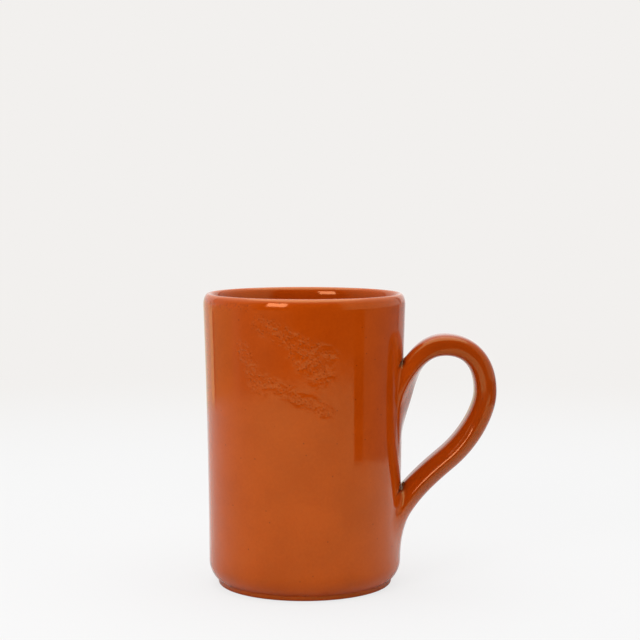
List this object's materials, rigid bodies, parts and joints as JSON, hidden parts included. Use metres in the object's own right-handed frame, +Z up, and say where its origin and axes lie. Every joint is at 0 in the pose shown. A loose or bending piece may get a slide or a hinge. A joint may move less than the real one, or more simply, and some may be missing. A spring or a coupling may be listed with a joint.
{
  "type": "terracotta mug",
  "caption": "Handmade glazed terracotta mug: tall, slightly tapering thrown cup with a rounded lip, a turned heel and a looped strap handle luted to the wall.",
  "frame": {"origin": "middle of the foot's flat underside, on the cup's axis", "axes": "+Z up along the cup's axis, +X towards the handle, Y across the handle's strap"},
  "size_m": [0.1258, 0.0864, 0.125],
  "materials": {
    "glazed_terracotta": "clear glossy glaze over red-orange clay",
    "glazed_slip": "clear glossy glaze over smoothed clay slip"
  },
  "bodies": {
    "root": {"cup": "glazed_terracotta", "handle": "glazed_terracotta", "upper_luting_slip": "glazed_slip", "lower_luting_slip": "glazed_slip"}
  },
  "joints": []
}
